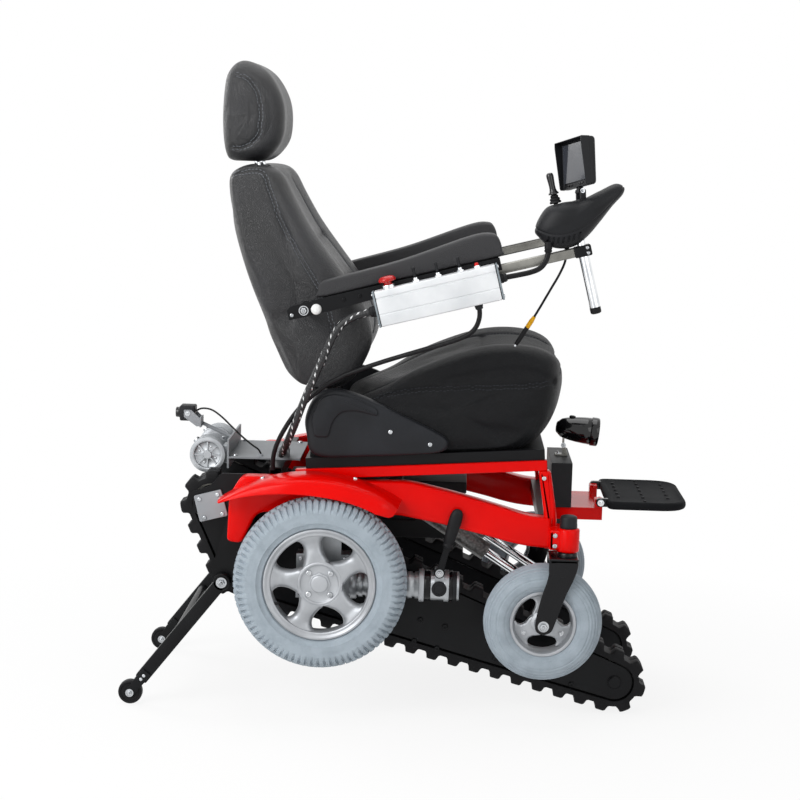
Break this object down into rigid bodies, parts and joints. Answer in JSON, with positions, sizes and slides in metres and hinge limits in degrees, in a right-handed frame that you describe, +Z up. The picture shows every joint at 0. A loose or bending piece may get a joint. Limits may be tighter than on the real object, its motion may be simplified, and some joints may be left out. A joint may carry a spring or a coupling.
{
  "type": "all terrain wheelchair",
  "caption": "Powered stair climbing wheelchair with a padded captain seat, flip-up armrests, joystick, four wheels and a tilting track unit.",
  "frame": {"origin": "on the floor, under the middle of the chair's bounding box", "axes": "+X forward, +Y to the rider's left, +Z up"},
  "size_m": [1.22, 0.6897, 1.3879],
  "materials": {
    "red_paint": "gloss powder coat",
    "black_steel": "satin powder coat",
    "grey_steel": "hammered paint",
    "bright_steel": "bright",
    "chrome": "polished",
    "cast_alloy": "cast",
    "anodised": "bead blasted and anodised",
    "tyre_grey": "matte",
    "track_rubber": "matte",
    "leather": "grained",
    "pad_vinyl": "moulded skin",
    "black_plastic": "fine texture",
    "gloss_black": "gloss",
    "red_plastic": "gloss",
    "cable_black": "matte"
  },
  "bodies": {
    "chassis": {"side_beam_right": "red_paint", "side_beam_left": "red_paint", "cross_frame": "black_steel", "seat_rails": "red_paint", "fenders": "red_paint", "battery_box": "black_plastic", "gearmotors": "cast_alloy", "rear_deck": "grey_steel", "track_motors": "cast_alloy", "arm_brackets": "black_steel", "front_panel": "black_plastic", "headlight": "gloss_black", "footrest_arm": "red_paint", "seat_pan": "black_steel", "seat_cushion": "leather", "side_covers": "black_plastic", "power_sleeve": "cable_black", "feed_cable": "cable_black", "camera_cord": "cable_black"},
    "back": {"back_frame": "bright_steel", "back_cushion": "leather"},
    "headrest": {"headrest": "leather"},
    "arm_right": {"armrest_bracket_right": "black_steel", "armrest_pad_right": "pad_vinyl", "control_box": "anodised", "switch_bases": "chrome", "controller_post": "chrome", "controller": "black_plastic", "joystick_hose": "cable_black", "video_cord": "cable_black"},
    "arm_left": {"armrest_bracket_left": "black_steel", "armrest_pad_left": "pad_vinyl"},
    "stop_button": {"stop_button": "red_plastic"},
    "toggle_1": {"toggle_1": "black_plastic"},
    "toggle_2": {"toggle_2": "black_plastic"},
    "toggle_3": {"toggle_3": "black_plastic"},
    "push_button": {"push_button": "red_plastic"},
    "stick_gimbal": {"stick_gimbal": "bright_steel"},
    "joystick": {"joystick": "black_plastic"},
    "monitor": {"monitor": "gloss_black"},
    "footplate": {"footplate": "black_plastic"},
    "drive_right": {"drive_tyre_right": "tyre_grey", "drive_rim_right": "cast_alloy"},
    "drive_left": {"drive_tyre_left": "tyre_grey", "drive_rim_left": "cast_alloy"},
    "caster_fork_right": {"caster_fork_right": "black_steel"},
    "caster_fork_left": {"caster_fork_left": "black_steel"},
    "caster_wheel_right": {"caster_wheel_right": "tyre_grey"},
    "caster_wheel_left": {"caster_wheel_left": "tyre_grey"},
    "track": {"track_frame": "black_steel", "track_belts": "track_rubber"},
    "sprockets": {"track_sprockets": "bright_steel"},
    "idlers": {"front_idlers": "bright_steel"},
    "actuator_tube": {"actuator_tubes": "black_steel"},
    "actuator_rod": {"actuator_rods": "bright_steel"},
    "rear_arms": {"rear_arms": "black_steel"},
    "rollers": {"arm_rollers": "track_rubber"},
    "lever_right": {"freewheel_lever_right": "black_plastic"},
    "lever_left": {"freewheel_lever_left": "black_plastic"},
    "camera": {"rear_camera": "black_plastic"}
  },
  "joints": [
    {"name": "back_recline", "type": "hinge", "parent": "chassis", "child": "back", "pos_m": [-0.181, 0, 0.64], "axis": [0, -1, 0], "range_deg": [0, 22], "deforming": ["power_sleeve", "feed_cable"]},
    {"name": "headrest_height", "type": "slide", "parent": "back", "child": "headrest", "axis": [-0.3007, 0, 0.9537], "range_m": [0, 0.06]},
    {"name": "armrest_flip_right", "type": "hinge", "parent": "back", "child": "arm_right", "pos_m": [-0.219, -0.304, 0.87], "axis": [0, -1, 0], "range_deg": [0, 75], "deforming": ["power_sleeve", "feed_cable"]},
    {"name": "armrest_flip_left", "type": "hinge", "parent": "back", "child": "arm_left", "pos_m": [-0.219, 0.304, 0.87], "axis": [0, -1, 0], "range_deg": [0, 75]},
    {"name": "stop_press", "type": "slide", "parent": "arm_right", "child": "stop_button", "axis": [0.2504, 0, -0.9681], "range_m": [0, 0.004], "stiffness_N_per_m": 700},
    {"name": "button_press", "type": "slide", "parent": "arm_right", "child": "push_button", "axis": [0.2504, 0, -0.9681], "range_m": [0, 0.0025], "stiffness_N_per_m": 400},
    {"name": "toggle_1_flick", "type": "hinge", "parent": "arm_right", "child": "toggle_1", "pos_m": [0.00811, -0.3253, 0.95042], "axis": [0, -1, 0], "range_deg": [-12, 12]},
    {"name": "toggle_2_flick", "type": "hinge", "parent": "arm_right", "child": "toggle_2", "pos_m": [0.05351, -0.3253, 0.96217], "axis": [0, -1, 0], "range_deg": [-12, 12]},
    {"name": "toggle_3_flick", "type": "hinge", "parent": "arm_right", "child": "toggle_3", "pos_m": [0.09816, -0.3253, 0.97371], "axis": [0, -1, 0], "range_deg": [-12, 12]},
    {"name": "stick_pitch", "type": "hinge", "parent": "arm_right", "child": "stick_gimbal", "pos_m": [0.2931, -0.2917, 1.0985], "axis": [0, -1, 0], "range_deg": [-15, 15], "stiffness_Nm_per_rad": 0.2},
    {"name": "stick_roll", "type": "hinge", "parent": "stick_gimbal", "child": "joystick", "pos_m": [0.2931, -0.2917, 1.0985], "axis": [0.9681, 0, 0.2504], "range_deg": [-15, 15], "stiffness_Nm_per_rad": 0.2},
    {"name": "monitor_tilt", "type": "hinge", "parent": "arm_right", "child": "monitor", "pos_m": [0.3402, -0.28711, 1.1297], "axis": [-0.4017, 0.9023, -0.1564], "range_deg": [-15, 15]},
    {"name": "footplate_fold", "type": "hinge", "parent": "chassis", "child": "footplate", "pos_m": [0.423, 0, 0.452], "axis": [0, -1, 0], "range_deg": [0, 75]},
    {"name": "drive_spin_right", "type": "hinge", "parent": "chassis", "child": "drive_right", "pos_m": [-0.173, -0.305, 0.3], "axis": [0, 1, 0], "continuous": true},
    {"name": "drive_spin_left", "type": "hinge", "parent": "chassis", "child": "drive_left", "pos_m": [-0.173, 0.305, 0.3], "axis": [0, 1, 0], "continuous": true},
    {"name": "caster_swivel_right", "type": "hinge", "parent": "chassis", "child": "caster_fork_right", "pos_m": [0.344, -0.285, 0.4], "axis": [0, 0, 1], "range_deg": [-18, 18]},
    {"name": "caster_swivel_left", "type": "hinge", "parent": "chassis", "child": "caster_fork_left", "pos_m": [0.344, 0.285, 0.4], "axis": [0, 0, 1], "range_deg": [-18, 18]},
    {"name": "caster_spin_right", "type": "hinge", "parent": "caster_fork_right", "child": "caster_wheel_right", "pos_m": [0.297, -0.285, 0.226], "axis": [0, 1, 0], "continuous": true},
    {"name": "caster_spin_left", "type": "hinge", "parent": "caster_fork_left", "child": "caster_wheel_left", "pos_m": [0.297, 0.285, 0.226], "axis": [0, 1, 0], "continuous": true},
    {"name": "track_tilt", "type": "hinge", "parent": "chassis", "child": "track", "pos_m": [-0.419, 0, 0.438], "axis": [0, -1, 0], "range_deg": [-14, 11]},
    {"name": "sprocket_spin", "type": "hinge", "parent": "track", "child": "sprockets", "pos_m": [-0.419, 0, 0.438], "axis": [0, 1, 0], "continuous": true},
    {"name": "idler_spin", "type": "hinge", "parent": "track", "child": "idlers", "pos_m": [0.463, 0, 0.07], "axis": [0, 1, 0], "continuous": true},
    {"name": "actuator_swing", "type": "hinge", "parent": "chassis", "child": "actuator_tube", "pos_m": [-0.023, 0, 0.458], "axis": [0, -1, 0], "range_deg": [-30, 30]},
    {"name": "actuator_extend", "type": "slide", "parent": "actuator_tube", "child": "actuator_rod", "axis": [0.8445, 0, -0.5356], "range_m": [-0.07, 0.07]},
    {"name": "rear_arm_fold", "type": "hinge", "parent": "chassis", "child": "rear_arms", "pos_m": [-0.389, 0, 0.275], "axis": [0, 1, 0], "range_deg": [0, 75]},
    {"name": "roller_spin", "type": "hinge", "parent": "rear_arms", "child": "rollers", "pos_m": [-0.584, 0, 0.026], "axis": [0, 1, 0], "continuous": true},
    {"name": "freewheel_right", "type": "hinge", "parent": "chassis", "child": "lever_right", "pos_m": [0.077, -0.265, 0.318], "axis": [0, -1, 0], "range_deg": [-14, 14]},
    {"name": "freewheel_left", "type": "hinge", "parent": "chassis", "child": "lever_left", "pos_m": [0.077, 0.265, 0.318], "axis": [0, -1, 0], "range_deg": [-14, 14]},
    {"name": "camera_tilt", "type": "hinge", "parent": "chassis", "child": "camera", "pos_m": [-0.489, -0.05, 0.614], "axis": [0, -1, 0], "range_deg": [-25, 25], "deforming": ["camera_cord"]}
  ],
  "couplings": [
    {"joint": "actuator_swing", "follows": "track_tilt", "ratio": 1.7226},
    {"joint": "actuator_extend", "follows": "track_tilt", "m_per_rad": -0.2445},
    {"joint": "idler_spin", "follows": "sprocket_spin", "ratio": 1}
  ]
}
